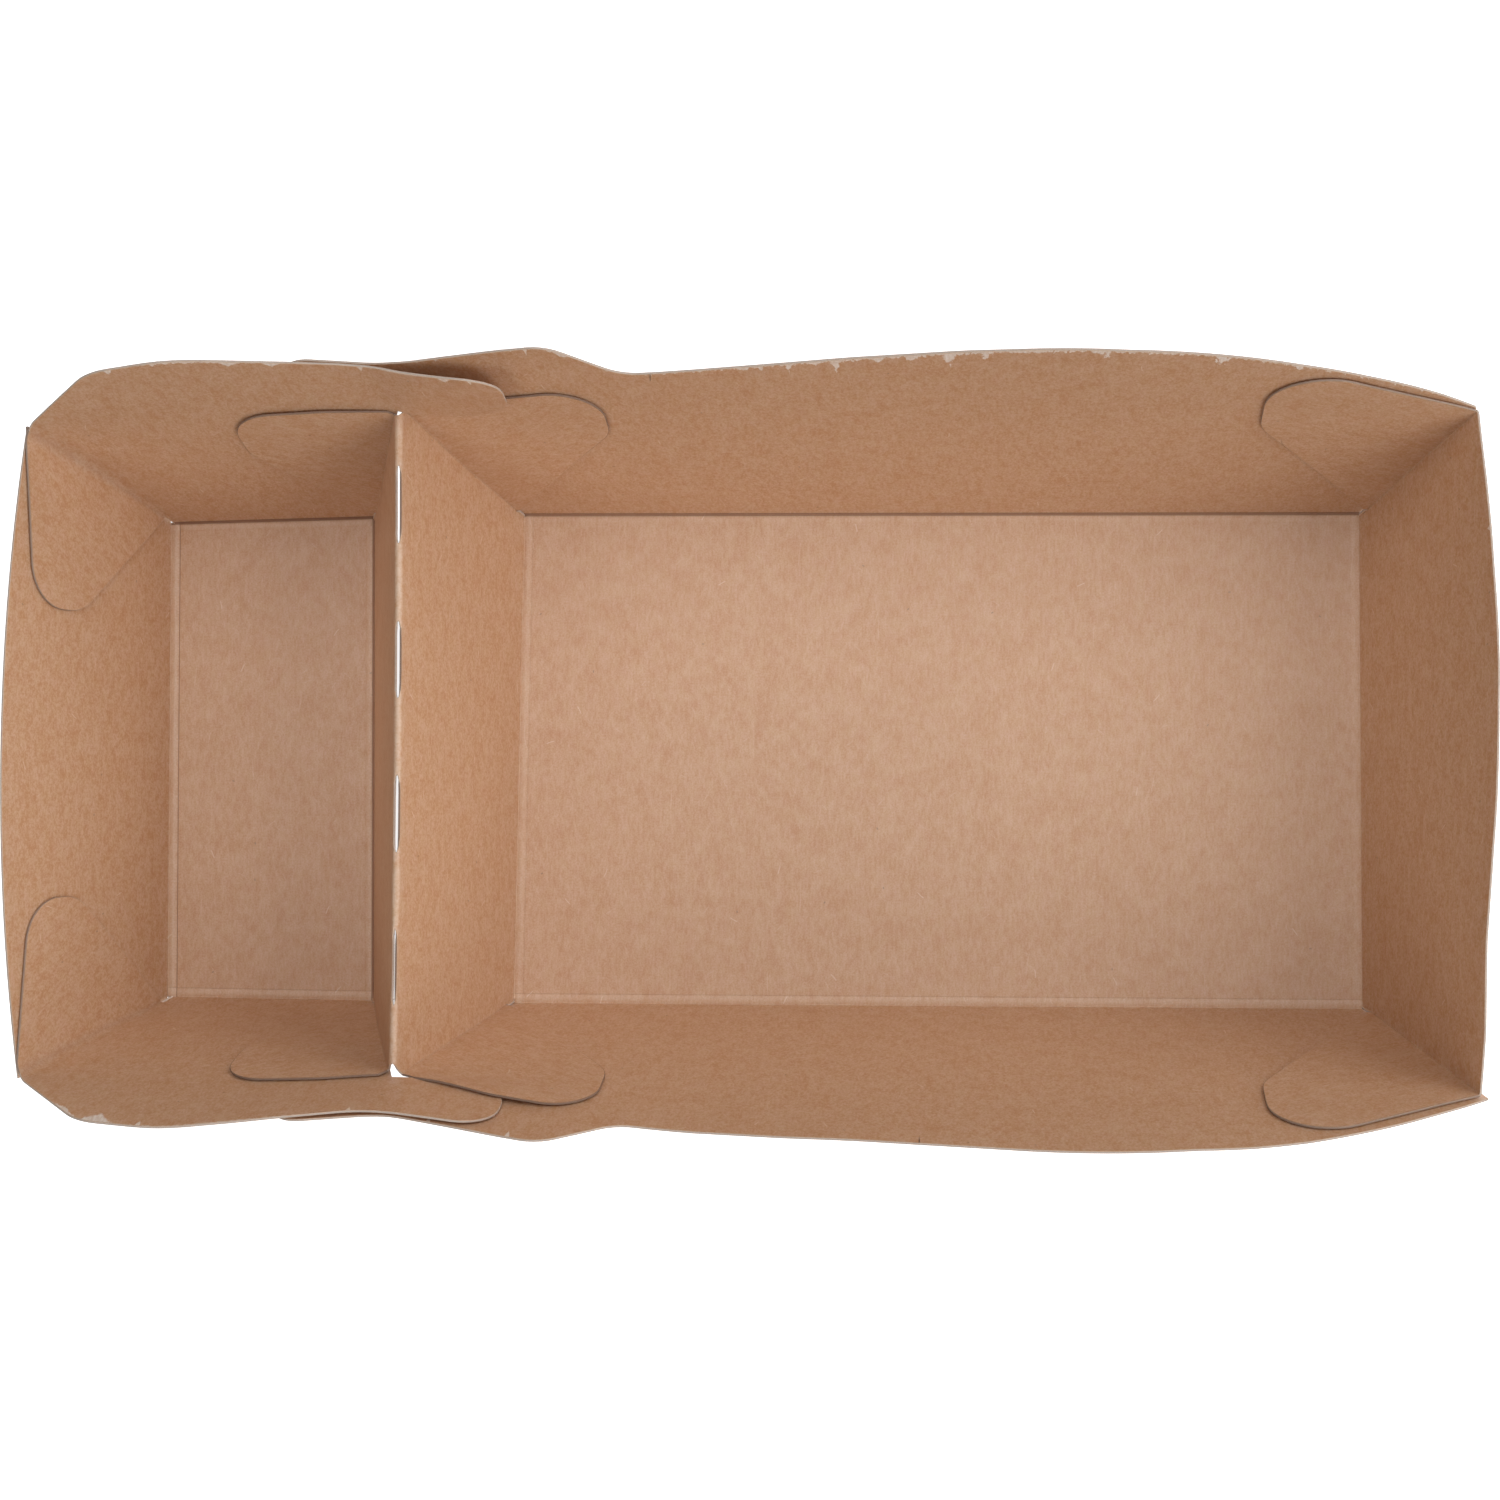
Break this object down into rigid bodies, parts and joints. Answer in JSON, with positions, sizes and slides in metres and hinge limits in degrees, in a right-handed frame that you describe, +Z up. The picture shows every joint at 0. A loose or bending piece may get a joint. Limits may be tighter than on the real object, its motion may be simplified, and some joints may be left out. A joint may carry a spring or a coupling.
{
  "type": "snack tray",
  "caption": "Open paperboard snack tray with flared walls, folded and glued from a die-cut sheet, with a perforated tent-shaped divider between a large and a small compartment.",
  "frame": {"origin": "on the table under the tray, midway along its overall length and width", "axes": "+X along the tray towards the large compartment's end wall, +Y across the tray, +Z up"},
  "size_m": [0.1922, 0.098, 0.0474],
  "materials": {
    "kraft": "matte"
  },
  "bodies": {
    "root": {"tray": "kraft"}
  },
  "joints": []
}
